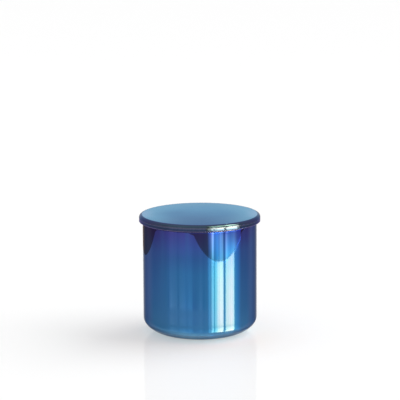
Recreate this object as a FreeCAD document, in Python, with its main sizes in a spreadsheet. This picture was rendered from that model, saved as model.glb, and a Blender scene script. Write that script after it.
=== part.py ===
import FreeCAD, Part
import os
import Sketcher

# A straight-sided storage jar of pressed glass with a push-in lid, in millimetres.
# The axis of every piece is Z. The jar stands on Z = 0 and its lid is pressed home.

doc = FreeCAD.newDocument("StorageJar")

# Driving sizes: alias, value and what it sets.
sizes = [
    ("jar_diameter", 80.0, "outside of the glass wall"),
    ("jar_height", 79.4, "from the foot to the top of the lip"),
    ("glass_wall", 3.2, "thickness of the side wall"),
    ("glass_base", 8.0, "thickness of the base above the foot"),
    ("heel_corner", 9.0, "radius where the wall turns under"),
    ("heel_sweep", 20.0, "radius of the broad curve down to the foot"),
    ("heel_turn", 49.0, "degrees turned by the corner before the sweep takes over"),
    ("foot_width", 2.6, "flat ring that the jar stands on"),
    ("punt_depth", 1.4, "rise of the underside inside the foot"),
    ("inner_heel", 9.0, "radius between the inside wall and floor"),
    ("lip_round", 1.1, "fire-polished edges of the lip"),
    ("lid_diameter", 85.0, "widest part of the lid"),
    ("lid_thickness", 4.9, "from the glass lip to the edge of the lid's top"),
    ("lid_crown", 0.4, "rise of the lid's top at its middle"),
    ("shell_sheet", 0.6, "sheet that the shell is pressed from"),
    ("seam_gap", 0.15, "hairline between the shell and the flange"),
    ("hem_gap", 0.1, "glue line between the shell's turned-in hem and the spigot"),
    ("flange_height", 2.6, "flange of the plug, between the lip and the seam"),
    ("flange_round", 1.0, "lower edge of the flange"),
    ("flange_web", 1.8, "floor of the flange's hollow side"),
    ("bead_height", 0.35, "fine bead round the flange's lower edge, above the lip"),
    ("bead_round", 0.3, "radius of the fine bead"),
    ("spigot_wall", 1.8, "ring of the plug that carries the shell"),
    ("plug_gap", 1.2, "radial space between the plug and the glass"),
    ("plug_depth", 8.6, "reach of the plug below the lip"),
    ("plug_wall", 3.0, "skirt of the plug"),
    ("plug_floor", 2.0, "closed end of the plug"),
    ("plug_round", 1.5, "lower edge of the plug"),
    ("rib_count", 8, "ribs that hold up the shell"),
    ("rib_width", 1.6, "thickness of a rib"),
    ("hub_radius", 6.0, "hub where the ribs meet"),
    ("groove_drop", 1.6, "from the lip down to the seal groove"),
    ("groove_height", 5.0, "height of the seal groove"),
    ("groove_depth", 1.3, "depth of the seal groove"),
    ("groove_land", 0.3, "least straight skirt between the groove and the lower edge"),
    ("seal_fit", 0.2, "space between the seal and its groove"),
    ("seal_gap", 0.2, "space between the fins and the glass"),
    ("fin_count", 3, "fins round the seal"),
    ("fin_root", 0.9, "height of a fin where it leaves the band"),
    ("fin_tip", 0.5, "height of a fin at the glass"),
    ("fin_margin", 0.2, "band left above and below the outer fins"),
]

sheet = doc.addObject("Spreadsheet::Sheet", "Sizes")
for row, (alias, value, note) in enumerate(sizes, start=1):
    sheet.set(f"A{row}", alias)
    sheet.set(f"B{row}", str(value))
    sheet.set(f"C{row}", note)
    sheet.setAlias(f"B{row}", alias)
doc.recompute()

# Places worked out from the driving sizes. Each is an expression on the sheet.
jar_radius = "(Sizes.jar_diameter / 2)"
mouth_radius = f"({jar_radius} - Sizes.glass_wall)"
heel_turn = "(Sizes.heel_turn * 1 deg)"
heel_step = "(Sizes.heel_sweep - Sizes.heel_corner)"
foot_outer = f"({jar_radius} - Sizes.heel_corner - {heel_step} * cos({heel_turn}))"
foot_inner = f"({foot_outer} - Sizes.foot_width)"
heel_height = f"(Sizes.heel_sweep - {heel_step} * sin({heel_turn}))"
corner_end_x = f"({jar_radius} - Sizes.heel_corner * (1 - cos({heel_turn})))"
corner_end_z = f"({heel_height} - Sizes.heel_corner * sin({heel_turn}))"
floor_top = "Sizes.glass_base"
seat = "Sizes.jar_height"

lid_radius = "(Sizes.lid_diameter / 2)"
lid_top = f"({seat} + Sizes.lid_thickness)"
shell_edge = f"({seat} + Sizes.flange_height + Sizes.seam_gap)"
shell_round = f"({lid_top} - {shell_edge})"
shell_inner_round = f"({shell_round} - Sizes.shell_sheet)"
crown_edge = f"({lid_radius} - {shell_round})"
hem_inner = f"({crown_edge} + Sizes.hem_gap)"
hem_top = f"({shell_edge} + Sizes.shell_sheet)"
hem_root = f"({crown_edge} + sqrt({shell_inner_round}^2 - Sizes.shell_sheet^2))"
shell_under = f"({lid_top} - Sizes.shell_sheet)"

flange_top = f"({seat} + Sizes.flange_height)"
spigot_inner = f"({crown_edge} - Sizes.spigot_wall)"
plug_radius = f"({mouth_radius} - Sizes.plug_gap)"
plug_inner = f"({plug_radius} - Sizes.plug_wall)"
plug_end = f"({seat} - Sizes.plug_depth)"
plug_inside = f"({plug_end} + Sizes.plug_floor)"
web_top = f"({seat} + Sizes.flange_web)"

groove_top = f"({seat} - Sizes.groove_drop)"
groove_end = f"({groove_top} - Sizes.groove_height)"
plug_round = f"min(Sizes.plug_round; {groove_end} - {plug_end} - Sizes.groove_land)"
groove_radius = f"({plug_radius} - Sizes.groove_depth)"
seal_inner = f"({groove_radius} + Sizes.seal_fit)"
seal_top = f"({groove_top} - Sizes.seal_fit)"
seal_end = f"({groove_end} + Sizes.seal_fit)"
fin_radius = f"({mouth_radius} - Sizes.seal_gap)"
fin_base = f"({seal_end} + Sizes.fin_margin)"
fin_climb = f"({seal_top} - Sizes.fin_margin - Sizes.fin_root - {fin_base})"


def number(expression):
    """The present value of an expression on the sheet."""
    value = sheet.evalExpression(expression)
    return float(getattr(value, "Value", value))


def newBody(name):
    body = doc.addObject("PartDesign::Body", name)
    body.Label = name
    return body


def originPlane(body, role):
    return next(o for o in body.Origin.OriginFeatures if o.Role == role)


def newSketch(body, name, role):
    sketch = body.newObject("Sketcher::SketchObject", name)
    sketch.AttachmentSupport = (originPlane(body, role), [""])
    sketch.MapMode = "FlatFace"
    return sketch


def bind(sketch, kind, reference, expression):
    """Adds a signed distance from the sketch's origin and binds it to the sheet."""
    value = number(expression)
    if abs(value) < 1e-9:
        axis = {"DistanceX": -2, "DistanceY": -1}[kind]
        sketch.addConstraint(Sketcher.Constraint("PointOnObject", *reference, axis))
        return
    index = sketch.addConstraint(Sketcher.Constraint(kind, -1, 1, *reference, value))
    sketch.setExpression(f"Constraints[{index}]", expression)


def drawSection(sketch, points, arcs):
    """Draws a closed outline through points, each a pair of expressions (x, z).

    arcs gives, for the side that starts at a point's number, the centre of its curve
    and whether that side runs counter-clockwise. Every other side is straight.
    """
    places = [FreeCAD.Vector(number(x), number(z), 0) for x, z in points]
    count = len(points)
    for side, start in enumerate(places):
        end = places[(side + 1) % count]
        if side not in arcs:
            sketch.addGeometry(Part.LineSegment(start, end))
            continue
        centre_x, centre_z, counter = arcs[side]
        centre = FreeCAD.Vector(number(centre_x), number(centre_z), 0)
        circle = Part.Circle(centre, FreeCAD.Vector(0, 0, 1), (start - centre).Length)
        first, last = (start, end) if counter else (end, start)
        sketch.addGeometry(Part.ArcOfCircle(circle, circle.parameter(first), circle.parameter(last)))
    for side, (x, z) in enumerate(points):
        begin, before = sideEnd(side, arcs, True), sideEnd((side - 1) % count, arcs, False)
        sketch.addConstraint(Sketcher.Constraint("Coincident", *before, *begin))
        bind(sketch, "DistanceX", begin, x)
        bind(sketch, "DistanceY", begin, z)
    for side, (centre_x, centre_z, _) in arcs.items():
        chord = places[(side + 1) % count] - places[side]
        if abs(chord.y) > abs(chord.x):
            bind(sketch, "DistanceX", (side, 3), centre_x)
        else:
            bind(sketch, "DistanceY", (side, 3), centre_z)


def sideEnd(side, arcs, first):
    """The vertex where a side starts or ends. A clockwise arc is stored reversed."""
    reverse = side in arcs and not arcs[side][2]
    return (side, 1 if first != reverse else 2)


def rectangle(low_x, low_y, high_x, high_y):
    return [(low_x, low_y), (high_x, low_y), (high_x, high_y), (low_x, high_y)]


def revolve(body, sketch, name):
    feature = body.newObject("PartDesign::Revolution", name)
    feature.Profile = sketch
    feature.ReferenceAxis = (sketch, ["V_Axis"])
    feature.Angle = 360
    sketch.Visibility = False
    return feature


def makeJarBody():
    """One pressed vessel: thick base, rounded heel, straight wall and fire-polished lip."""
    body = newBody("jar_body")
    section = newSketch(body, "JarSection", "XZ_Plane")
    punt_radius = f"(({foot_inner}^2 + Sizes.punt_depth^2) / (2 * Sizes.punt_depth))"
    lip_low = f"({seat} - Sizes.lip_round)"
    lip_outer = f"({jar_radius} - Sizes.lip_round)"
    lip_inner = f"({mouth_radius} + Sizes.lip_round)"
    floor_edge = f"({mouth_radius} - Sizes.inner_heel)"
    floor_rise = f"({floor_top} + Sizes.inner_heel)"
    points = [
        ("0", "Sizes.punt_depth"),
        (foot_inner, "0"),
        (foot_outer, "0"),
        (corner_end_x, corner_end_z),
        (jar_radius, heel_height),
        (jar_radius, lip_low),
        (lip_outer, seat),
        (lip_inner, seat),
        (mouth_radius, lip_low),
        (mouth_radius, floor_rise),
        (floor_edge, floor_top),
        ("0", floor_top),
    ]
    arcs = {
        0: ("0", f"(Sizes.punt_depth - {punt_radius})", False),
        2: (foot_outer, "Sizes.heel_sweep", True),
        3: (f"({jar_radius} - Sizes.heel_corner)", heel_height, True),
        5: (lip_outer, lip_low, True),
        7: (lip_inner, lip_low, True),
        9: (floor_edge, floor_rise, False),
    }
    drawSection(section, points, arcs)
    revolve(body, section, "Vessel")
    return body


def makeLidShell():
    """Pressed sheet cover: crowned top, rounded rim and an edge turned in under itself."""
    body = newBody("lid_shell")
    section = newSketch(body, "ShellSection", "XZ_Plane")
    crown_radius = f"(({crown_edge}^2 + Sizes.lid_crown^2) / (2 * Sizes.lid_crown))"
    crown_top = f"({lid_top} + Sizes.lid_crown)"
    under_top = f"({shell_under} + Sizes.lid_crown)"
    points = [
        ("0", under_top),
        (crown_edge, shell_under),
        (hem_root, hem_top),
        (hem_inner, hem_top),
        (hem_inner, shell_edge),
        (lid_radius, shell_edge),
        (crown_edge, lid_top),
        ("0", crown_top),
    ]
    arcs = {
        0: ("0", f"({under_top} - {crown_radius})", False),
        1: (crown_edge, shell_edge, False),
        5: (crown_edge, shell_edge, True),
        6: ("0", f"({crown_top} - {crown_radius})", True),
    }
    drawSection(section, points, arcs)
    revolve(body, section, "Cover")
    return body


def makeLidPlug():
    """Moulded plug: flange on the glass lip, grooved skirt in the mouth, ribs inside."""
    body = newBody("lid_plug")
    section = newSketch(body, "PlugSection", "XZ_Plane")
    flange_under = f"({lid_radius} - Sizes.flange_round)"
    flange_rise = f"({seat} + Sizes.flange_round)"
    round_edge = f"({plug_radius} - {plug_round})"
    round_rise = f"({plug_end} + {plug_round})"
    points = [
        ("0", plug_end),
        (round_edge, plug_end),
        (plug_radius, round_rise),
        (plug_radius, groove_end),
        (groove_radius, groove_end),
        (groove_radius, groove_top),
        (plug_radius, groove_top),
        (plug_radius, seat),
        (flange_under, seat),
        (lid_radius, flange_rise),
        (lid_radius, flange_top),
        (crown_edge, flange_top),
        (crown_edge, shell_under),
        (spigot_inner, shell_under),
        (spigot_inner, web_top),
        (plug_inner, web_top),
        (plug_inner, plug_inside),
        ("0", plug_inside),
    ]
    arcs = {
        1: (round_edge, round_rise, True),
        8: (flange_under, flange_rise, True),
    }
    drawSection(section, points, arcs)
    revolve(body, section, "Plug")
    addBead(body, flange_under, flange_rise)
    addRibs(body)
    return body


def addBead(body, flange_under, flange_rise):
    """Fine rolled bead, centred on the flange's rounded lower edge."""
    sketch = newSketch(body, "BeadSection", "XZ_Plane")
    bead_z = f"({seat} + Sizes.bead_height)"
    drop = f"({flange_rise} - {bead_z})"
    bead_x = f"({flange_under} + sqrt(Sizes.flange_round^2 - {drop}^2))"
    centre = FreeCAD.Vector(number(bead_x), number(bead_z), 0)
    circle = Part.Circle(centre, FreeCAD.Vector(0, 0, 1), number("Sizes.bead_round"))
    sketch.addGeometry(circle)
    bind(sketch, "DistanceX", (0, 3), bead_x)
    bind(sketch, "DistanceY", (0, 3), bead_z)
    index = sketch.addConstraint(Sketcher.Constraint("Radius", 0, circle.Radius))
    sketch.setExpression(f"Constraints[{index}]", "Sizes.bead_round")
    revolve(body, sketch, "Bead")


def addRibs(body):
    """A hub and a ring of ribs, from the plug's floor up to the shell."""
    section = newSketch(body, "HubSection", "XZ_Plane")
    drawSection(section, rectangle("0", plug_inside, "Sizes.hub_radius", shell_under), {})
    revolve(body, section, "Hub")
    sketch = newSketch(body, "RibPlan", "XY_Plane")
    half = "(Sizes.rib_width / 2)"
    start = "(Sizes.hub_radius / 2)"
    end = f"({plug_inner} + Sizes.plug_wall / 4)"
    drawSection(sketch, rectangle(start, f"(-{half})", end, half), {})
    sketch.setExpression("AttachmentOffset.Base.z", plug_inside)
    rib = body.newObject("PartDesign::Pad", "Rib")
    rib.Profile = sketch
    rib.setExpression("Length", f"{shell_under} - {plug_inside}")
    sketch.Visibility = False
    doc.recompute()
    ring = body.newObject("PartDesign::PolarPattern", "RibRing")
    ring.Originals = [rib]
    ring.Axis = (originPlane(body, "Z_Axis"), [""])
    ring.Angle = 360
    ring.setExpression("Occurrences", "Sizes.rib_count")
    body.Tip = ring


def makeSealRing():
    """Soft band that sits in the plug's groove, with fins that wipe the glass."""
    body = newBody("seal_ring")
    section = newSketch(body, "BandSection", "XZ_Plane")
    drawSection(section, rectangle(seal_inner, seal_end, plug_radius, seal_top), {})
    revolve(body, section, "Band")
    sketch = newSketch(body, "FinSection", "XZ_Plane")
    fin_top = f"({fin_base} + Sizes.fin_root)"
    tip_low = f"({fin_top} - Sizes.fin_tip)"
    fin_inner = f"(({seal_inner} + {plug_radius}) / 2)"
    outline = [
        (fin_inner, fin_base),
        (plug_radius, fin_base),
        (fin_radius, tip_low),
        (fin_radius, fin_top),
        (fin_inner, fin_top),
    ]
    drawSection(sketch, outline, {})
    fin = revolve(body, sketch, "Fin")
    doc.recompute()
    stack = body.newObject("PartDesign::LinearPattern", "FinStack")
    stack.Originals = [fin]
    stack.Direction = (originPlane(body, "Z_Axis"), [""])
    stack.setExpression("Length", fin_climb)
    stack.setExpression("Occurrences", "Sizes.fin_count")
    body.Tip = stack
    return body


bodies = [makeJarBody(), makeLidShell(), makeLidPlug(), makeSealRing()]
doc.recompute()

for item in doc.Objects:
    if "Invalid" in item.State or "Error" in item.State:
        raise RuntimeError(f"{item.Name} did not compute: {item.State}")

os.makedirs("parts", exist_ok=True)
for body in bodies:
    shape = body.Shape
    if shape.isNull() or not shape.isValid() or len(shape.Solids) != 1:
        raise RuntimeError(f"{body.Label} is not one valid solid")
    shape.exportStep(os.path.join("parts", body.Label + ".step"))
    print(f"{body.Label}: {shape.Volume:.1f} cubic mm, top at {shape.BoundBox.ZMax:.2f} mm")
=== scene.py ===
import math
import bmesh
import bpy
import numpy as np
from mathutils import Matrix, Vector


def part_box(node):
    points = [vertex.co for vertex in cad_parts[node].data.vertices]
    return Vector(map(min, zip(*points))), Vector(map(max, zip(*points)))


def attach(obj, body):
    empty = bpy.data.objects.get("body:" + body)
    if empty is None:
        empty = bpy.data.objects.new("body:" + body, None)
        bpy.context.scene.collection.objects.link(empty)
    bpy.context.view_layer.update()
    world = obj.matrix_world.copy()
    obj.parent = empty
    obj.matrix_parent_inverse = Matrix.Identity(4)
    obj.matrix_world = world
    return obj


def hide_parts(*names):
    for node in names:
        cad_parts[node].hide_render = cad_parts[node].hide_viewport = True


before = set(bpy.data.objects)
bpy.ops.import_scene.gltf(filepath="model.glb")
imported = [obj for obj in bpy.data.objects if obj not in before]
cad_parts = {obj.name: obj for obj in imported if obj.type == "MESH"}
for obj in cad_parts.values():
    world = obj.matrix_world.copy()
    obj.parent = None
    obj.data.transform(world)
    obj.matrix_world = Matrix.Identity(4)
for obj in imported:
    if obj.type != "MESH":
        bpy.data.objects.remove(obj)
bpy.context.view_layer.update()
mm = 0.001                    # lengths are in metres
print("frame loaded:", ", ".join(sorted(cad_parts)))

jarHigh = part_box("jar_body")[1]
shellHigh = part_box("lid_shell")[1]
sealLow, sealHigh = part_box("seal_ring")

black = (0, 0, 0, 1)
white = (1, 1, 1, 1)


# camera

view = {
    "aimHeight": 41 * mm,     # distance and elevation are from this point on the axis
    "distance": 1.518,
    "elevation": 12.76,       # degrees, as are the tilt and the roll
    "tiltUp": 1.965,          # the jar stands below the middle of the frame
    "roll": -0.27,
    "lens": 193.8,
    "sensor": 36.0,
    "shift": 0.0010,          # the axis stands a little left of the middle
    "nearest": 0.05,
    "farthest": 60,
}


def makeCamera():
    lens = bpy.data.cameras.new("camera")
    lens.lens = view["lens"]
    lens.sensor_width = view["sensor"]
    lens.shift_x = view["shift"]
    lens.clip_start = view["nearest"]
    lens.clip_end = view["farthest"]
    camera = bpy.data.objects.new("camera", lens)
    bpy.context.collection.objects.link(camera)
    rise = math.radians(view["elevation"])
    pitch = math.radians(90 - view["elevation"] + view["tiltUp"])
    back = view["distance"] * math.cos(rise)
    up = view["aimHeight"] + view["distance"] * math.sin(rise)
    turn = Matrix.Rotation(pitch, 4, "X") @ Matrix.Rotation(math.radians(view["roll"]), 4, "Z")
    camera.matrix_world = Matrix.Translation((0, -back, up)) @ turn
    bpy.context.scene.camera = camera
    bpy.context.scene.view_settings.view_transform = "Standard"
    print("camera placed")


# turned surfaces

turning = {
    "around": 320,            # faces round the axis
    "arcTurn": 0.5,           # radians of an arc that the given number of steps covers
    "joined": 1e-7,           # points nearer than this become one
    "crease": 32,             # degrees between faces that stay a crisp edge
}


def roundedLine(corners, steps=8, loop=False):
    # A line through corners (out, up, radius) whose turns are arcs. Each arc leaves and meets the
    # straight sides at radius x tan(half the turn) from its corner, and its centre lies on the inner
    # side of the turn.
    corners = np.array(corners, float)
    points, radii = corners[:, :2], corners[:, 2]
    count = len(points)
    pieces = []
    for index, (corner, radius) in enumerate(zip(points, radii)):
        if radius == 0 or (not loop and index in (0, count - 1)):
            pieces.append(corner[None])
            continue
        into = corner - points[index - 1]
        away = points[(index + 1) % count] - corner
        into, away = into / np.linalg.norm(into), away / np.linalg.norm(away)
        turn = math.atan2(into[0] * away[1] - into[1] * away[0], into @ away)
        reach = radius * math.tan(abs(turn) / 2)
        side = math.copysign(1, turn)
        centre = corner - into * reach + side * radius * np.array([-into[1], into[0]])
        angles = np.linspace(0, turn, max(2, int(steps * abs(turn) / turning["arcTurn"])) + 1)
        x, y = corner - into * reach - centre
        cos, sin = np.cos(angles), np.sin(angles)
        pieces.append(centre + np.stack([x * cos - y * sin, x * sin + y * cos], 1))
    return np.concatenate(pieces)


def filled(line, step):
    # Adds evenly spaced points to the long straight sides of a line, so that faces stay near square.
    gaps = np.linalg.norm(np.diff(line, axis=0), axis=1)
    along = np.concatenate([[0], np.cumsum(gaps)])
    between = [np.linspace(start, end, max(1, int((end - start) / step)), endpoint=False)
               for start, end in zip(along[:-1], along[1:])]
    places = np.concatenate([*between, along[-1:]])
    return np.stack([np.interp(places, along, line[:, k]) for k in (0, 1)], 1)


def revolved(line, around=turning["around"], loop=False):
    # Surface of two parameters, the place along the line and the turn t about Z:
    # x = r cos t, y = r sin t, z = z. A loop's last ring joins its first.
    turns = np.linspace(0, 2 * np.pi, around, endpoint=False)
    grid = np.stack([np.outer(line[:, 0], np.cos(turns)), np.outer(line[:, 0], np.sin(turns)),
                     np.repeat(line[:, 1:], around, 1)], 2)
    number = np.arange(len(line) * around).reshape(-1, around)
    low = number if loop else number[:-1]
    high = np.roll(number, -1, axis=0)[:len(low)]
    quads = np.stack([low, np.roll(low, -1, axis=1), np.roll(high, -1, axis=1), high], 2)
    return grid.reshape(-1, 3), quads.reshape(-1, 4)


def lathe(name, line, loop=False, extra=()):
    # Turned surface, with any further parts of the same moulding in the one mesh. Points that fall
    # together on the axis are joined, which drops the faces that this leaves empty.
    points, faces = [], []
    for vertices, quads in [revolved(line, loop=loop), *extra]:
        faces.append(np.array(quads) + sum(len(p) for p in points))
        points.append(np.array(vertices))
    mesh = bpy.data.meshes.new(name)
    mesh.from_pydata(np.concatenate(points).tolist(), [], np.concatenate(faces).tolist())
    work = bmesh.new()
    work.from_mesh(mesh)
    bmesh.ops.remove_doubles(work, verts=work.verts, dist=turning["joined"])
    work.to_mesh(mesh)
    work.free()
    mesh.validate()
    mesh.polygons.foreach_set("use_smooth", np.ones(len(mesh.polygons), bool))
    mesh.set_sharp_from_angle(angle=math.radians(turning["crease"]))
    piece = bpy.data.objects.new(name, mesh)
    bpy.context.collection.objects.link(piece)
    return piece


def place(piece, material, node, body):
    piece.data.materials.append(material)
    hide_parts(node)
    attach(piece, body)
    print(f"{piece.name} made: {len(piece.data.polygons)} faces")


# shader sums

class Wire:
    # A node's socket that does sums: each operator adds one Math node.
    def __init__(self, finish, socket):
        self.finish, self.socket = finish, socket

    def __add__(self, other):
        return self.finish.sum("ADD", self, other)

    def __sub__(self, other):
        return self.finish.sum("SUBTRACT", self, other)

    def __rsub__(self, other):
        return self.finish.sum("SUBTRACT", other, self)

    def __mul__(self, other):
        return self.finish.sum("MULTIPLY", self, other)

    def __truediv__(self, other):
        return self.finish.sum("DIVIDE", self, other)

    def __pow__(self, other):
        return self.finish.sum("POWER", self, other)

    __radd__ = __add__
    __rmul__ = __mul__


class Finish:
    # The nodes of a material, or of the world.
    def __init__(self, name, library="materials"):
        self.owner = getattr(bpy.data, library).new(name)
        self.owner.use_nodes = True
        self.tree = self.owner.node_tree
        self.tree.nodes.clear()

    def node(self, kind, settings=None, sockets=None, output=0):
        made = self.tree.nodes.new(kind)
        for key, value in (settings or {}).items():
            if key == "stops":
                setStops(made.color_ramp, value)
            else:
                setattr(made, key, value)
        for key, value in (sockets or {}).items():
            if isinstance(value, Wire):
                self.tree.links.new(value.socket, made.inputs[key])
            else:
                made.inputs[key].default_value = value
        return Wire(self, made.outputs[output]) if len(made.outputs) else None

    def sum(self, operation, *values):
        return self.node("ShaderNodeMath", {"operation": operation}, dict(enumerate(values)))

    def limit(self, value, low, high):
        return self.sum("MINIMUM", self.sum("MAXIMUM", value, low), high)

    def step(self, value, low, high):
        # 0 below low, 1 above high, and a smooth rise between.
        return self.node("ShaderNodeMapRange", {"interpolation_type": "SMOOTHSTEP"},
                         {"Value": value, "From Min": low, "From Max": high})

    def axis(self, name):
        where = self.node("ShaderNodeTexCoord", output="Object")
        return self.node("ShaderNodeSeparateXYZ", sockets={0: where}, output=name)

    def radius(self):
        x, y = self.axis("X"), self.axis("Y")
        return (x * x + y * y) ** 0.5

    def facing(self):
        # 0 where the surface looks at the eye, 1 at its outline.
        return self.node("ShaderNodeLayerWeight", sockets={"Blend": 0.5}, output="Facing")

    def noise(self, size, detail, stretch=(1, 1, 1), roughness=0.5):
        where = self.node("ShaderNodeTexCoord", output="Object")
        scale = tuple(share / size for share in stretch)
        where = self.node("ShaderNodeMapping", sockets={"Vector": where, "Scale": scale})
        return self.node("ShaderNodeTexNoise",
                         sockets={"Vector": where, "Scale": 1.0, "Detail": detail, "Roughness": roughness})

    def ramp(self, value, stops):
        return self.node("ShaderNodeValToRGB", {"stops": stops}, {0: value})

    def mix(self, share, first, second, kind="MIX", limited=True):
        # a Mix node keeps its colours in sockets 6 and 7, and their mixture in output 2
        settings = {"data_type": "RGBA", "blend_type": kind, "clamp_factor": limited}
        return self.node("ShaderNodeMix", settings, {0: share, 6: first, 7: second}, output=2)

    def times(self, first, second):
        return self.mix(1.0, first, second, "MULTIPLY")

    def grey(self, level):
        return self.node("ShaderNodeCombineXYZ", sockets={0: level, 1: level, 2: level})

    def bump(self, height, distance=1.0, **normal):
        # A bump that this one lies on goes in as its Normal.
        return self.node("ShaderNodeBump",
                         sockets={"Height": height, "Distance": distance, "Strength": 1.0, **normal})

    def surface(self, **sockets):
        named = {key.replace("_", " "): value for key, value in sockets.items()}
        shader = self.node("ShaderNodeBsdfPrincipled", sockets=named)
        self.node("ShaderNodeOutputMaterial", sockets={"Surface": shader})
        return self.owner


def setStops(ramp, stops):
    while len(ramp.elements) > 1:
        ramp.elements.remove(ramp.elements[-1])
    for index, (position, value) in enumerate(stops):
        element = ramp.elements[0] if index == 0 else ramp.elements.new(position)
        element.position = position
        element.color = value


def tint(red, green, blue):
    # A screen colour out of 255 as the linear light that shaders use.
    return tuple(((c / 255 + 0.055) / 1.055) ** 2.4 if c > 10 else c / 255 / 12.92
                 for c in (red, green, blue)) + (1.0,)


# jar

jar = {
    "wall": 3.2 * mm,
    "base": 8 * mm,
    "heelCorner": 9 * mm,     # the heel's two arcs, under the wall and over the foot
    "heelSweep": 20 * mm,
    "heelTurn": math.radians(49),
    "footWidth": 2.6 * mm,
    "punt": 1.4 * mm,
    "puntPoints": 12,
    "innerHeel": 9 * mm,
    "lipRound": 1.1 * mm,
    "arcSteps": 10,
    "face": 1.6 * mm,         # longest side of a face
    # the pale colours at the lowest shares of the three ramps below are a painted reflection of the bright
    # floor on the heel
    "facing": [               # height share, colour where the wall faces the eye
        (0.00, tint(170, 228, 246)),
        (0.03, tint(140, 204, 236)),
        (0.055, tint(118, 206, 250)),
        (0.085, tint(76, 150, 202)),
        (0.105, tint(56, 122, 172)),
        (0.14, tint(52, 110, 156)),
        (0.24, tint(52, 106, 154)),
        (0.40, tint(43, 102, 150)),
        (0.62, tint(40, 98, 148)),
        (0.76, tint(41, 84, 140)),
        (0.86, tint(50, 76, 142)),
        (1.00, tint(56, 58, 130)),
    ],
    "turned": [               # where it turns away
        (0.00, tint(176, 224, 238)),
        (0.05, tint(134, 192, 224)),
        (0.09, tint(86, 146, 190)),
        (0.125, tint(52, 106, 150)),
        (0.30, tint(42, 92, 140)),
        (0.50, tint(40, 84, 136)),
        (0.66, tint(38, 76, 130)),
        (0.80, tint(42, 68, 126)),
        (0.92, tint(44, 48, 112)),
        (1.00, tint(46, 40, 102)),
    ],
    "turnedFrom": (0.04, 0.42),
    "outline": [              # and at its outline
        (0.00, tint(176, 214, 226)),
        (0.045, tint(130, 174, 204)),
        (0.09, tint(82, 118, 156)),
        (0.16, tint(72, 100, 144)),
        (0.50, tint(72, 96, 144)),
        (0.84, tint(72, 88, 138)),
        (1.00, tint(76, 76, 128)),
    ],
    "outlineFrom": (0.41, 0.62),
    "edge": tint(92, 104, 140),
    "edgeNarrow": 4,          # power of the turn from the eye
    "edgeShare": 0.8,
    "edgeTint": (0.30, 0.33, 0.40, 1),    # of what it mirrors at a glancing angle
    "cloud": (34 * mm, 2.0),  # a noise, as some below: size, detail, stretch, roughness
    "cloudShift": 0.06,       # how far soft patches move the plating up or down its ramp
    "streaks": (7 * mm, 3.0, (1, 1, 0.05)),
    "streakFrom": (0.45, 0.8),
    "streakShare": 0.22,
    "streak": tint(64, 116, 168),
    "inside": tint(132, 172, 214),
    "insideTo": (0.5 * mm, 0.2 * mm),     # past the bore, where the look of the inside ends
    "insideAbove": (4 * mm, 6 * mm),
    "insideSoft": 0.75,       # how much of the inside's sheen is scattered light
    "insideCoat": 0.9,
    "insideRough": 0.03,
    "ripple": (11 * mm, 2.0, (1, 1, 0.3)),
    "bare": tint(150, 172, 180),
    "scuff": (1.5 * mm, 4.0, (1, 1, 1), 0.7),
    "scuffDepth": 0.2,
    "wornBelow": (0.35 * mm, 0.05 * mm),
    "wornInset": 0.4 * mm,
    "wornFrom": (0.38, 0.55),
    "wornRough": 0.35,
    "dust": (0.9 * mm, 4.0),
    "dustFrom": (0.62, 0.9),
    "dustRough": 0.04,
    "rough": 0.025,
    "wave": (30 * mm, 1.0, (1, 1, 0.3)),
    "waveDepth": 0.008 * mm,
    "straightened": 3.7 * mm,             # this much of the heel's top mirrors almost as the wall does
    "straightening": -1.08,   # -1 turns its normals back to level, and this a little above
    "coat": 0.1,
    "coatRough": 0.02,
}


def makeJar():
    radius, height = jarHigh.x, jarHigh.z
    inside = radius - jar["wall"]
    sweep, corner, turn = jar["heelSweep"], jar["heelCorner"], jar["heelTurn"]
    footOuter = radius - corner - (sweep - corner) * math.cos(turn)
    footInner = footOuter - jar["footWidth"]
    heelTop = sweep - (sweep - corner) * math.sin(turn)
    # the two heel arcs share a tangent: where it meets the wall and the floor are their corners
    knee = (radius - corner + corner * math.cos(turn), heelTop - corner * math.sin(turn))
    slope = (math.sin(turn), math.cos(turn))
    wallCorner = (radius, knee[1] + (radius - knee[0]) / slope[0] * slope[1])
    footCorner = (knee[0] - knee[1] / slope[1] * slope[0], 0)
    out = np.linspace(0, footInner, jar["puntPoints"])
    punt = np.stack([out, jar["punt"] * (1 - (out / footInner) ** 2)], 1)
    shell = roundedLine([(footInner, 0, 0), (*footCorner, sweep), (*wallCorner, corner),
                         (radius, height, jar["lipRound"]), (inside, height, jar["lipRound"]),
                         (inside, jar["base"], jar["innerHeel"]), (0, jar["base"], 0)], jar["arcSteps"])
    line = filled(np.concatenate([punt[:-1], shell]), jar["face"])
    finish = platedGlass(inside, footInner, heelTop)
    place(lathe("jar_glass", line), finish, "jar_body", "jar")


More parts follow.
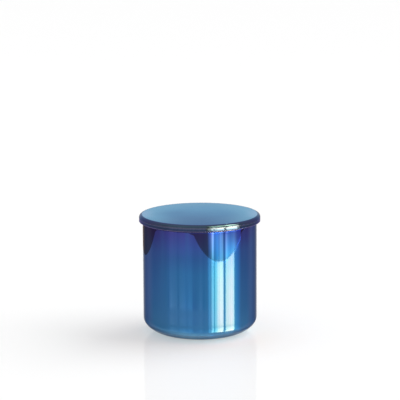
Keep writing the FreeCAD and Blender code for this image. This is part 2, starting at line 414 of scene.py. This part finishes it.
def platedGlass(inside, footInner, heelTop):
    finish = Finish("platedGlass")
    out, up, facing = finish.radius(), finish.axis("Z"), finish.facing()
    share = up / jarHigh.z + (finish.noise(*jar["cloud"]) - 0.5) * jar["cloudShift"]
    # the ramps paint the heel pale, a painted reflection of the bright floor there
    platingWithPaintedHeel = finish.mix(finish.step(facing, *jar["turnedFrom"]), finish.ramp(share, jar["facing"]),
                         finish.ramp(share, jar["turned"]))
    outline = finish.ramp(share, jar["outline"])
    platingWithPaintedHeel = finish.mix(finish.step(facing, *jar["outlineFrom"]), platingWithPaintedHeel, outline)
    streak = finish.step(finish.noise(*jar["streaks"]), *jar["streakFrom"])
    colour = finish.mix(streak * jar["streakShare"], platingWithPaintedHeel, jar["streak"])
    colour = finish.mix(facing ** jar["edgeNarrow"] * jar["edgeShare"], colour, jar["edge"])
    # through the mouth, the plating shows pale behind the clear wall
    bore = finish.step(out, *(inside + past for past in jar["insideTo"]))
    behind = bore * finish.step(up, *jar["insideAbove"])
    pale = finish.mix(finish.noise(*jar["ripple"]), jar["inside"], platingWithPaintedHeel)
    colour = finish.mix(behind, colour, pale)
    # the foot ring wears through to the glass where it stands
    scuff = finish.noise(*jar["scuff"])
    foot = finish.step(up, *jar["wornBelow"]) * finish.step(out, footInner - jar["wornInset"], footInner)
    worn = foot * finish.step(scuff, *jar["wornFrom"])
    colour = finish.mix(worn, colour, jar["bare"])
    dust = finish.step(finish.noise(*jar["dust"]), *jar["dustFrom"])
    rough = jar["rough"] + dust * jar["dustRough"] + worn * jar["wornRough"] + behind * jar["insideRough"]
    # the heel's arc, sunk into the surface as a bump, turns the normals of its top back up
    drop = finish.limit(heelTop - up, 0.0, jar["straightened"])
    level = finish.bump((jar["heelCorner"] ** 2 - drop * drop) ** 0.5 * jar["straightening"])
    wave = finish.noise(*jar["wave"]) + scuff * foot * jar["scuffDepth"]
    metal = 1.0 - worn - behind * jar["insideSoft"]
    coat = jar["coat"] + behind * jar["insideCoat"]
    return finish.surface(Base_Color=colour, Metallic=metal, Roughness=rough,
                          Normal=finish.bump(wave, jar["waveDepth"], Normal=level), Coat_Weight=coat,
                          Coat_Roughness=jar["coatRough"], Specular_Tint=jar["edgeTint"])


# lid shell

lid = {
    "thickness": 4.9 * mm,
    "crown": 0.4 * mm,
    "sheet": 0.6 * mm,
    "seam": 0.15 * mm,
    "hemGap": 0.1 * mm,
    "hemBend": 0.95,          # radius of the bend above the hem, share of its height
    "flange": 2.6 * mm,
    "edgeRound": 0.1 * mm,
    "edgeSpare": 1.05,        # so that the two rounds of the rim don't quite meet
    "face": 1.5 * mm,
    "top": [                  # how far the top turns from the eye, colour; the paler colours towards its glancing end are a painted reflection
        (0.30, tint(70, 116, 160)),
        (0.785, tint(86, 124, 174)),
        (0.795, tint(94, 142, 189)),
        (0.806, tint(99, 162, 207)),
        (0.816, tint(112, 185, 225)),
        (0.828, tint(134, 197, 230)),
        (0.86, tint(156, 212, 238)),
    ],
    "topTint": (0.50, 0.64, 0.77, 1),
    "cloud": (30 * mm, 2.0),
    "cloudShift": 0.02,
    # a painted sheen across the flat top, paler at its two sides along X
    "paintedSheen": tint(171, 233, 255),
    "paintedSheenFrom": 16 * mm,
    "paintedSheenShare": 0.7,
    "middle": 1 * mm,         # keeps the bow tie from dividing by nothing on the axis
    "ends": tint(202, 226, 255),
    "endsOut": 30 * mm,       # the ends of the painted sheen's bow tie, a painted highlight, outwards and across
    "endsFrom": (0.75, 1.0),
    "endsShare": 0.8,
    "rim": [                  # share of the rim's height from its lower edge to the flat top, colour; the pale stops at its foot paint a highlight line on the rounded edge
        (0.00, tint(108, 116, 140)),
        (0.10, tint(96, 104, 126)),
        (0.18, tint(48, 60, 78)),
        (0.50, tint(58, 76, 92)),
        (0.78, tint(68, 88, 104)),
        (0.94, tint(84, 106, 126)),
    ],
    "rimStarts": (-0.1 * mm, 0.35 * mm),  # past the edge of the flat top
    "rimAside": tint(64, 56, 104),
    "rimAsideFrom": (0.10, 0.55),
    "rimAsideShare": 0.8,
    "rimEdge": tint(118, 106, 166),
    "rimEdgeNarrow": 6,       # power of the turn from the eye
    "rimBackSheen": (0.05, 0.4),   # painted sheen on the back of the rim, in its upper part, where it turns away
    "rimBackSheenAbove": (0.6, 0.85),
    "rimBackSheenTurned": (0.60, 0.74),
    "lean": 0.60,             # slope of the rim's face at its foot
    "leanTo": 0.5,            # share of the rim's height where it is upright
    "ring": 0.8 * mm,
    "ringDetail": 2.0,
    "ringDepth": 0.004 * mm,
    "ringRough": 0.05,
    "dust": (0.8 * mm, 3.0),
    "dustFrom": (0.6, 0.9),
    "dustRough": 0.1,
    "rough": 0.16,
    "rimGloss": 0.13,
    "wave": (30 * mm, 1.0),
    "waveDepth": 2.0,         # times the depth of the rings
}
seat = jarHigh.z
seamLow = seat + lid["flange"]
shellEdge = seamLow + lid["seam"]
lidTop = seat + lid["thickness"]
bend = lidTop - shellEdge
crownEdge = shellHigh.x - bend


def makeShell():
    radius, under = shellHigh.x, lidTop - lid["sheet"]
    small = lid["edgeRound"]
    hemOuter, hemInner = crownEdge + bend - lid["sheet"], crownEdge + lid["hemGap"]
    hemTop = shellEdge + lid["sheet"]
    line = roundedLine([(0, under, 0), (hemOuter, under, (under - hemTop) * lid["hemBend"]),
                        (hemOuter, hemTop, 0), (hemInner, hemTop, 0), (hemInner, shellEdge, small),
                        (radius, shellEdge, small), (radius, lidTop, bend - small * lid["edgeSpare"]),
                        (0, lidTop, 0)])
    line = filled(line, lid["face"])
    flat = np.clip(1 - (line[:, 0] / crownEdge) ** 2, 0, 1)
    line[:, 1] += np.where(line[:, 1] > hemTop, flat * lid["crown"], 0)
    place(lathe("lid_cover", line), platedSteel(), "lid_shell", "lid")


def platedSteel():
    finish = Finish("platedSteel")
    out, up, facing = finish.radius(), finish.axis("Z"), finish.facing()
    # the flat top pales where it turns from the eye: a painted reflection
    top = finish.ramp(facing + (finish.noise(*lid["cloud"]) - 0.5) * lid["cloudShift"], lid["top"])
    # painted sheen: a bow tie across the flat top along X, paler at its sides, as turned metal catches the
    # light
    across = finish.axis("X") / (out + lid["middle"])
    paintedSheen = finish.step(out, lid["paintedSheenFrom"], crownEdge) * across * across * lid["paintedSheenShare"]
    top = finish.mix(paintedSheen, top, lid["paintedSheen"])
    # a brighter painted highlight at the bow tie's ends
    ends = finish.step(out, lid["endsOut"], crownEdge) * finish.step(across * across, *lid["endsFrom"])
    top = finish.mix(ends * lid["endsShare"], top, lid["ends"])
    share = (up - shellEdge) / bend
    # the pale foot of the rim's ramp is a painted highlight line
    rim = finish.ramp(share, lid["rim"])
    rim = finish.mix(finish.step(facing, *lid["rimAsideFrom"]) * lid["rimAsideShare"], rim, lid["rimAside"])
    rim = finish.mix(facing ** lid["rimEdgeNarrow"], rim, lid["rimEdge"])
    # painted sheen on the upper back of the rim
    behind = finish.step(share, *lid["rimBackSheenAbove"]) * finish.step(finish.axis("Y") / out, *lid["rimBackSheen"])
    rim = finish.mix(behind * finish.step(facing, *lid["rimBackSheenTurned"]), rim, lid["paintedSheen"])
    aside = finish.step(out, *(crownEdge + past for past in lid["rimStarts"]))
    # the pressing tool leaves faint rings on the flat top
    ring = finish.node("ShaderNodeTexNoise", {"noise_dimensions": "1D"},
                       {"W": out, "Scale": 1 / lid["ring"], "Detail": lid["ringDetail"]})
    dust = finish.step(finish.noise(*lid["dust"]), *lid["dustFrom"])
    rough = lid["rough"] + ring * lid["ringRough"] + dust * lid["dustRough"] - aside * lid["rimGloss"]
    # the rim's lower part leans back a little, so it looks at the room and not at the table
    low = finish.sum("MINIMUM", share, lid["leanTo"])
    lean = finish.bump((low * low - low) * aside * bend * lid["lean"])
    wave = ring * (1 - aside) + finish.noise(*lid["wave"]) * lid["waveDepth"]
    return finish.surface(Base_Color=finish.mix(aside, top, rim), Metallic=1.0, Roughness=rough,
                          Normal=finish.bump(wave, lid["ringDepth"], Normal=lean),
                          Specular_Tint=lid["topTint"])


# lid plug

plug = {
    "flangeRound": 1.0 * mm,
    "web": 1.8 * mm,
    "bead": 0.35 * mm,        # height of its centre over the lip
    "beadRound": 0.3 * mm,
    "beadTurn": 1.45,         # radians of its arc to either side
    "beadPoints": 11,
    "spigotWall": 1.8 * mm,
    "gap": 1.2 * mm,
    "depth": 8.6 * mm,
    "wall": 3 * mm,
    "floor": 2 * mm,
    "round": 1.5 * mm,
    "ribs": 8,
    "ribWidth": 1.6 * mm,
    "sunk": 0.25,             # how far hub and ribs run into the floor and wall, share of their thickness
    "hub": 6 * mm,
    "hubAround": 64,
    "grooveDrop": 1.6 * mm,
    "grooveHeight": 5 * mm,
    "grooveDepth": 1.3 * mm,
    "edgeRound": 0.12 * mm,
    "face": 1.5 * mm,
    "flange": [               # share of the height from the lip to the seam, colour; the pale bands by the lip and under the seam are painted highlight lines on its rounded edges
        (0.00, tint(64, 72, 108)),
        (0.06, tint(92, 92, 128)),
        (0.15, tint(122, 114, 150)),
        (0.24, tint(80, 80, 112)),
        (0.32, tint(50, 58, 84)),
        (0.80, tint(50, 62, 84)),
        (0.90, tint(104, 106, 134)),
    ],
    "edgeTint": (0.62, 0.60, 0.86, 1),
    "cloud": (20 * mm, 2.0),
    "cloudShare": 0.3,
    "cloudTint": tint(38, 62, 110),
    "bare": tint(30, 42, 66),
    "grainTint": tint(36, 50, 76),
    "grain": (0.5 * mm, 3.0),
    "grainDepth": 0.01 * mm,
    "grainRough": 0.08,
    "rough": 0.36,
    "platedAbove": (-0.02 * mm, 0.05 * mm),
    "platedOut": (-0.5 * mm, -0.3 * mm),  # from the jar's outside
    "platedGloss": 0.34,
    "beadTop": (0.85 * mm, 0.65 * mm),    # below it the flange is a little duller
    "beadRough": 0.16,
}


def makePlug():
    radius, under = shellHigh.x, lidTop - lid["sheet"]
    skirt = jarHigh.x - jar["wall"] - plug["gap"]
    groove, spigot = skirt - plug["grooveDepth"], crownEdge - plug["spigotWall"]
    grooveTop = seat - plug["grooveDrop"]
    grooveEnd = grooveTop - plug["grooveHeight"]
    end = seat - plug["depth"]
    inner, floor, web = skirt - plug["wall"], end + plug["floor"], seat + plug["web"]
    small = plug["edgeRound"]
    line = roundedLine([(0, end, 0), (skirt, end, plug["round"]), (skirt, grooveEnd, small),
                        (groove, grooveEnd, 0), (groove, grooveTop, 0), (skirt, grooveTop, small),
                        (skirt, seat, 0), (radius, seat, plug["flangeRound"]), (radius, seamLow, small),
                        (crownEdge, seamLow, 0), (crownEdge, under, small), (spigot, under, small),
                        (spigot, web, 0), (inner, web, 0), (inner, floor, 0), (0, floor, 0)])
    line = addBead(filled(line, plug["face"]))
    half, foot = plug["ribWidth"] / 2, floor - plug["floor"] * plug["sunk"]
    corners = np.array([(x, y, z) for x in (plug["hub"] / 2, inner + plug["wall"] * plug["sunk"])
                        for y in (-half, half) for z in (foot, under)])
    sides = [(0, 1, 3, 2), (4, 6, 7, 5), (0, 4, 5, 1), (2, 3, 7, 6), (0, 2, 6, 4), (1, 5, 7, 3)]
    turns = np.arange(plug["ribs"]) * 2 * math.pi / plug["ribs"]
    ribs = [(corners @ np.array(Matrix.Rotation(-turn, 3, "Z")), sides) for turn in turns]
    hubLine = np.array([(0, foot), (plug["hub"], foot), (plug["hub"], under), (0, under)])
    piece = lathe("lid_inner", line, extra=[revolved(hubLine, plug["hubAround"]), *ribs])
    place(piece, platedPlastic(), "lid_plug", "lid")


def addBead(line):
    # The flange's points inside the bead's circle give way to an arc of that circle, which stands out
    # from the flange's curve: its centre lies on the curve, and the arc is centred on the curve's normal.
    bead, curve = plug["beadRound"], plug["flangeRound"]
    drop = curve - plug["bead"]
    across = math.sqrt(curve ** 2 - drop ** 2)
    centre = np.array([shellHigh.x - curve + across, seat + plug["bead"]])
    near = np.linalg.norm(line - centre, axis=1) < bead
    first = int(np.argmax(near))
    turn = np.linspace(-plug["beadTurn"], plug["beadTurn"], plug["beadPoints"]) + math.atan2(-drop, across)
    arc = centre + bead * np.stack([np.cos(turn), np.sin(turn)], 1)
    return np.concatenate([line[:first], arc, line[first + int(near.sum()):]])


def platedPlastic():
    finish = Finish("platedPlastic")
    out, up = finish.radius(), finish.axis("Z")
    # the flange's ramp paints pale highlight lines by the lip and under the seam
    flange = finish.ramp((up - seat) / lid["flange"], plug["flange"])
    flange = finish.mix(finish.facing() ** lid["rimEdgeNarrow"], flange, lid["rimEdge"])
    flange = finish.mix(finish.noise(*plug["cloud"]) * plug["cloudShare"], flange, plug["cloudTint"])
    grain = finish.noise(*plug["grain"])
    bare = finish.mix(grain, plug["bare"], plug["grainTint"])
    plated = (finish.step(up, *(seat + above for above in plug["platedAbove"]))
              * finish.step(out, *(jarHigh.x + past for past in plug["platedOut"])))
    bead = plated * finish.step(up, *(seat + above for above in plug["beadTop"]))
    rough = (plug["rough"] + grain * plug["grainRough"] - plated * plug["platedGloss"]
             + bead * plug["beadRough"])
    lean = finish.bump((seat - up) * plated * lid["lean"])
    return finish.surface(Base_Color=finish.mix(plated, bare, flange), Metallic=plated, Roughness=rough,
                          Normal=finish.bump(grain * (1 - plated), plug["grainDepth"], Normal=lean),
                          Specular_Tint=plug["edgeTint"])


# seal

seal = {
    "fit": 0.2 * mm,
    "fins": 3,
    "finRoot": 0.9 * mm,
    "finTip": 0.5 * mm,
    "margin": 0.2 * mm,
    "round": 0.08 * mm,
    "colour": tint(212, 220, 228),
    "shade": tint(190, 204, 216),
    "cloud": (9 * mm, 2.0),
    "cloudFrom": (0.3, 0.7),
    "grain": (0.35 * mm, 3.0),
    "grainDepth": 0.006 * mm,
    "grainRough": 0.12,
    "rough": 0.42,
    "glow": 0.25,             # share of light that enters the silicone, and how far it goes
    "glowReach": 0.6 * mm,
    "sheen": 0.4,
}


def makeSeal():
    low, high, small = sealLow.z, sealHigh.z, seal["round"]
    skirt = jarHigh.x - jar["wall"] - plug["gap"]
    band = skirt - plug["grooveDepth"] + seal["fit"]
    tip = sealHigh.x
    corners = [(band, low, small), (skirt, low, small)]
    for base in np.linspace(low + seal["margin"], high - seal["margin"] - seal["finRoot"], seal["fins"]):
        top = base + seal["finRoot"]
        corners += [(skirt, base, 0), (tip, top - seal["finTip"], small), (tip, top, small),
                    (skirt, top, 0)]
    corners += [(skirt, high, small), (band, high, small)]
    line = roundedLine(corners, loop=True)
    place(lathe("seal_rubber", line, loop=True), silicone(), "seal_ring", "seal")


def silicone():
    finish = Finish("silicone")
    grain = finish.noise(*seal["grain"])
    cloud = finish.step(finish.noise(*seal["cloud"]), *seal["cloudFrom"])
    colour = finish.mix(cloud, seal["colour"], seal["shade"])
    return finish.surface(Base_Color=colour, Roughness=seal["rough"] + grain * seal["grainRough"],
                          Normal=finish.bump(grain, seal["grainDepth"]), Subsurface_Weight=seal["glow"],
                          Subsurface_Scale=seal["glowReach"], Specular_IOR_Level=seal["sheen"])


# stage

stage = {
    "floorSize": 14.0,
    "floorColour": 0.76,
    "floorGlow": 0.38,        # what camera, glossy and transmission rays get on top
    "floorGloss": 0.40,
    "floorRough": 0.9,
    "floorCoatRough": 0.03,
    "floorCoatBend": 1.5,     # how strongly its gloss bends light
    "paintedShadeCentre": (6 * mm, -18 * mm),
    "paintedShadeReach": 200 * mm,
    "paintedWarmShade": [                 # painted warm shade on the floor by the jar, which offsets the blue light that the jar throws on it, share of the reach
        (0.12, (0.96, 0.78, 0.72, 1)),
        (0.20, (0.95, 0.87, 0.82, 1)),
        (0.27, (0.97, 0.93, 0.91, 1)),
        (0.36, (0.99, 0.97, 0.965, 1)),
        (0.50, white),
    ],
    "worldDiffuse": 0.66,
    "sunLevel": 0.36,         # what a level surface gets
    "sunFrom": (0.80, 0.26, 0.52),
    "sunAngle": 74,           # degrees across, which makes its shadows soft
    "tableEdges": (-0.276, 0.2985),       # how far off the left and the right edge lie
    "tableTurns": (37, 39.8),             # and how they are turned, in degrees
    "tableSoft": 4 * mm,
    "tableBow": 0.43,         # how far the right edge bends in with the square of the way along it
    "beyond": (0.52, 0.34, 0.24, 1),
    "beyondDull": 0.58,
    "cardDistance": 1.1,
    "cardHeights": (0.01, 1.65),
    "cardColumns": 48,
    "fold": (60 * mm, 2.0, (1, 1, 0.02)),
    "foldFrom": (0.3, 0.7),
    "foldDepth": 0.16,
    "windows": [              # azimuth from the camera side towards the right, radiance seen over the table
        (14, (1, 1, 1)), (16.3, (0.8, 2, 2)), (18, (3.8, 4.4, 3.8)), (20.4, (3.6, 3.8, 2.8)),
        (22.3, (6, 5.5, 3.7)), (23.6, (16, 11, 6.5)), (26.9, (18, 14, 8)), (27.6, (2, 5.5, 3.5)),
        (28.6, (2, 5.5, 3.5)), (29.3, (11, 11, 6)), (32.5, (20, 13.7, 7)), (37, (54, 18.5, 8)),
        (41, (66, 20, 8.2)), (46.9, (60, 20, 8.5)), (47.9, (6, 5, 3.2)), (49.8, (1, 3.2, 2.6)),
        (51.7, (6, 6, 4)), (52.7, (46, 19, 8.2)), (55.5, (62, 20.3, 8.3)), (66, (76, 21, 8.9)),
        (70, (62, 21.5, 9.2)), (71.6, (40, 19, 8.5)), (72.8, (6, 6.5, 4)), (75.5, (2, 4.2, 3.6)),
        (81.5, (0.8, 2.6, 3)), (89, (1, 1, 1)),
    ],
    "windowHeights": [        # metres, share of that radiance
        (0.170, (0.70, 1.15, 1.15)), (0.183, (0.80, 1.12, 1.12)), (0.199, (0.97, 1.03, 1.03)),
        (0.222, (1.03, 1, 1)), (0.248, (0.88, 0.90, 0.95)), (0.259, (0.78, 0.85, 0.86)),
        (0.290, (0.62, 0.75, 0.85)), (0.305, (0.20, 0.30, 0.40)), (0.350, (0.02, 0.06, 0.13)),
    ],
    "windowHeadroom": 1.2,    # a ramp stops at 1, and the shares above don't
    "windowsPast": [          # azimuth, radiance seen over the floor past the table's edge
        (15, (1, 1, 1)), (17, (2, 3.3, 4)), (19, (4.5, 7, 7)), (21.2, (7.5, 12, 9.5)), (23.2, (19, 24, 15)),
        (24.6, (40, 46, 29)), (26.4, (38, 46, 29)), (28, (7, 18, 15)), (30, (5, 14.5, 13)), (34, (7, 21, 18)),
        (38, (9.5, 19, 16)), (40.5, (16, 25, 19.5)), (46.2, (20, 25, 17)), (47.8, (2, 8, 8)),
        (50.8, (1.5, 7, 8)), (52.3, (22, 28, 20)), (54.5, (30, 42, 27)), (57, (15, 33, 23)),
        (60, (10, 27, 20)), (65, (10, 26, 18.5)), (68.5, (13, 31, 20)), (73, (16, 32, 22)),
        (76, (12, 24, 17)), (79, (6, 14, 15)), (89, (5, 9, 14)),
    ],
    "pastHeight": 0.1754,     # the line between the two, at the azimuth below, from which it bows down
    "pastMiddle": 40.5,
    "pastBow": 0.0000106,
    "pastSoft": 1.6 * mm,
    "pastSlope": 1.1,         # brighter towards the right above this height, and darker below it
    "pastSlopeFrom": 0.156,
    "pastLimits": (0.75, 1.3),
    "pastLow": (0.65, 0.75, 1, 1),        # tint of the lowest part, and the height where it ends
    "pastLowTo": (0.134, 0.150),
    "windowsHigh": (0.96, 0.92, 0.50, 1),  # tint of the part high up, which the lid's top mirrors
    "highFrom": (1.06, 1.14),
    "highSlope": 0.0075,      # metres that it starts lower for each degree towards the right
    "highSpread": 0.86,       # it shows this share of the azimuths above, and so wider strips
    "flagDistance": 0.45,
    "flagHeights": (0.112, 0.205),
    "flagGlow": 1.1,
    "room": [                 # azimuth, radiance
        (-69, (1, 1, 1)), (-66, (0.6, 0.75, 0.9)), (-63, (1.5, 1.15, 1.2)), (-60, (2.6, 1.75, 1.6)),
        (-56, (2.0, 1.45, 1.35)), (-50, (1.8, 1.3, 1.25)), (-47, (1.3, 1.15, 1.1)), (-44.5, (0.7, 0.75, 0.9)),
        (-42, (1, 0.95, 1)), (-39, (1.8, 1.45, 1.4)), (-32, (1.7, 1.4, 1.45)), (-26, (0.95, 1.15, 1.35)),
        (-19.5, (1.4, 1.5, 1.6)), (-16, (1.05, 1.3, 1.4)), (-14, (0.5, 0.62, 0.88)), (-8, (0.55, 0.65, 0.85)),
        (-3, (0.85, 0.9, 1)), (2, (1.6, 1.3, 1.3)), (7, (0.4, 0.75, 0.9)), (12, (0.7, 1.05, 1.05)),
        (14, (1, 1, 1)),
    ],
    "roomHeights": [          # metres, how strongly the room shows against plain white
        (0.135, 0.4), (0.176, 0.6), (0.200, 0.8), (0.210, 0.95), (0.215, 1.3), (0.229, 1.6),
        (0.2306, 2.4), (0.2328, 2.4), (0.234, 0.6), (0.240, 0.4), (0.246, 0.9), (0.257, 1.0), (0.266, 0.0),
    ],
}


def rays(finish, *kinds):
    # 1 for the named kinds of ray, 0 for the rest.
    total = finish.node("ShaderNodeLightPath", output=kinds[0])
    for kind in kinds[1:]:
        total = finish.sum("MAXIMUM", total, finish.node("ShaderNodeLightPath", output=kind))
    return total


def makeWorld():
    finish = Finish("world", "worlds")
    bpy.context.scene.world = finish.owner
    seen = rays(finish, "Is Camera Ray", "Is Glossy Ray", "Is Transmission Ray")
    level = finish.node("ShaderNodeMapRange",
                        sockets={"Value": seen, "To Min": stage["worldDiffuse"], "To Max": 1.0})
    glow = finish.node("ShaderNodeBackground", sockets={"Strength": level})
    finish.node("ShaderNodeOutputWorld", sockets={"Surface": glow})


def stageSheet(name, points, faces):
    mesh = bpy.data.meshes.new(name)
    mesh.from_pydata(points, [], faces)
    sheet = bpy.data.objects.new(name, mesh)
    bpy.context.collection.objects.link(sheet)
    return sheet


def makeFloor():
    half = stage["floorSize"] / 2
    floor = stageSheet("floor", [(-half, -half, 0), (half, -half, 0), (half, half, 0), (-half, half, 0)],
                       [(0, 1, 2, 3)])
    finish = Finish("floorSheet")
    seen = rays(finish, "Is Camera Ray", "Is Glossy Ray", "Is Transmission Ray")
    mirrored = rays(finish, "Is Glossy Ray")
    # the white table ends at two opposite edges, and past them reflections meet a dull brown floor
    x, y = finish.axis("X"), finish.axis("Y")
    left, right = stage["tableEdges"]
    leftTurn, rightTurn = np.radians(stage["tableTurns"]).tolist()
    across = x * math.sin(leftTurn) - y * math.cos(leftTurn)
    past = finish.step(across, left, left - stage["tableSoft"])
    across = x * math.sin(rightTurn) - y * math.cos(rightTurn)
    along = x * math.cos(rightTurn) + y * math.sin(rightTurn)
    bowed = across + along * along * stage["tableBow"]
    past = past + finish.step(bowed, right, right + stage["tableSoft"])
    beyond = mirrored * past
    level, glow = stage["floorColour"], stage["floorGlow"]
    # painted warm shade round the jar's foot, against the blue light that the jar throws on the floor
    offX, offY = x - stage["paintedShadeCentre"][0], y - stage["paintedShadeCentre"][1]
    paintedWarmShade = finish.ramp((offX * offX + offY * offY) ** 0.5 / stage["paintedShadeReach"], stage["paintedWarmShade"])
    base = finish.mix(beyond, finish.times((level, level, level, 1), paintedWarmShade), black)
    shine = finish.mix(seen, black, finish.mix(beyond, (glow, glow, glow, 1), stage["beyond"]))
    gloss = stage["floorGloss"] + mirrored * (1 - stage["floorGloss"]) - beyond * stage["beyondDull"]
    floor.data.materials.append(finish.surface(
        Base_Color=base, Roughness=stage["floorRough"], Specular_IOR_Level=0.0, Coat_Weight=gloss,
        Coat_Roughness=stage["floorCoatRough"], Coat_IOR=stage["floorCoatBend"], Emission_Color=shine,
        Emission_Strength=1.0))


def curvedSheet(name, stops, distance, heights):
    # Part of a cylinder about the jar, from the first stop's azimuth a to the last's:
    # x = d sin a, y = -d cos a, z = z.
    columns = stage["cardColumns"]
    turns = np.radians(np.linspace(stops[0][0], stops[-1][0], columns))
    ring = distance * np.stack([np.sin(turns), -np.cos(turns)], 1)
    points = np.concatenate([np.column_stack([ring, np.full(columns, height)]) for height in heights])
    left = np.arange(columns - 1)
    faces = np.stack([left, left + 1, left + columns + 1, left + columns], 1)
    sheet = stageSheet(name, points.tolist(), faces.tolist())
    sheet.visible_camera = sheet.visible_diffuse = sheet.visible_transmission = sheet.visible_shadow = False
    return sheet


def glowing(finish, colour, strength):
    return finish.surface(Base_Color=black, Roughness=1.0, Specular_IOR_Level=0.0, Emission_Color=colour,
                          Emission_Strength=strength)


def spread(finish, value, stops, peak):
    # A ramp over values that run from the first stop's to the last's, its colours divided by the peak.
    first, last = stops[0][0], stops[-1][0]
    shares = [((at - first) / (last - first), (*(np.broadcast_to(colour, 3) / peak), 1))
              for at, colour in stops]
    return finish.ramp((value - first) / (last - first), shares)


def windowLight(finish, azimuth, up, peak):
    # Light of the windows, and the strength that it is a share of.
    headroom = stage["windowHeadroom"]
    level = spread(finish, up, stage["windowHeights"], headroom)
    bright = finish.times(spread(finish, azimuth, stage["windows"], peak), level)
    peak *= headroom
    off = azimuth - stage["pastMiddle"]
    wide = spread(finish, azimuth * stage["highSpread"], stage["windows"], peak)
    green = finish.node("ShaderNodeSeparateColor", sockets={0: wide}, output="Green")
    ceiling = finish.times(finish.grey(green), stage["windowsHigh"])
    high = up + finish.sum("MAXIMUM", off, 0.0) * stage["highSlope"]
    bright = finish.mix(finish.step(high, *stage["highFrom"]), bright, ceiling)
    low = stage["pastHeight"]
    past = finish.step(up + off * off * stage["pastBow"], low + stage["pastSoft"], low)
    patch = finish.limit(1 + off * (up - stage["pastSlopeFrom"]) * stage["pastSlope"], *stage["pastLimits"])
    beyond = finish.times(spread(finish, azimuth, stage["windowsPast"], peak), finish.grey(patch))
    lowest = finish.times(beyond, stage["pastLow"])
    beyond = finish.mix(finish.step(up, *stage["pastLowTo"]), lowest, beyond)
    return finish.mix(past, bright, beyond), peak


def roomLight(finish, azimuth, up, peak):
    # Light of the room's lit side, and the strength that it is a share of.
    most = max(share for height, share in stage["roomHeights"])
    strong = spread(finish, up, stage["roomHeights"], most) * most
    plain = (1 / peak, 1 / peak, 1 / peak, 1)
    return finish.mix(strong, plain, spread(finish, azimuth, stage["room"], peak), limited=False), peak


def makeCards():
    # Tall windows and the lit side of the room, which only reflections show.
    for name, light in (("windows", windowLight), ("room", roomLight)):
        finish = Finish(name)
        x, y, up = finish.axis("X"), finish.axis("Y"), finish.axis("Z")
        azimuth = finish.sum("ARCTAN2", x, y * -1) * (180 / math.pi)
        bright, peak = light(finish, azimuth, up, max(max(colour) for at, colour in stage[name]))
        fold = finish.step(finish.noise(*stage["fold"]), *stage["foldFrom"]) * stage["foldDepth"]
        shade = finish.grey(fold + (1 - stage["foldDepth"] / 2))
        sheet = curvedSheet(name, stage[name], stage["cardDistance"], stage["cardHeights"])
        sheet.data.materials.append(glowing(finish, finish.times(bright, shade), peak))


def makeFlag():
    # A pale card near the jar keeps the windows off the lid's flat top.
    # What the wall mirrors passes under it.
    sheet = curvedSheet("flag", stage["windows"], stage["flagDistance"], stage["flagHeights"])
    sheet.data.materials.append(glowing(Finish("flag"), white, stage["flagGlow"]))


def makeSun():
    sun = bpy.data.lights.new("sun", "SUN")
    rise = Vector(stage["sunFrom"]).normalized()
    sun.energy = stage["sunLevel"] * math.pi / rise.z
    sun.angle = math.radians(stage["sunAngle"])
    light = bpy.data.objects.new("sun", sun)
    bpy.context.collection.objects.link(light)
    light.matrix_world = rise.to_track_quat("Z", "Y").to_matrix().to_4x4()
    light.visible_glossy = False


makeCamera()
makeWorld()
makeFloor()
makeCards()
makeFlag()
makeSun()
print("stage set")
makeJar()
makeShell()
makePlug()
makeSeal()
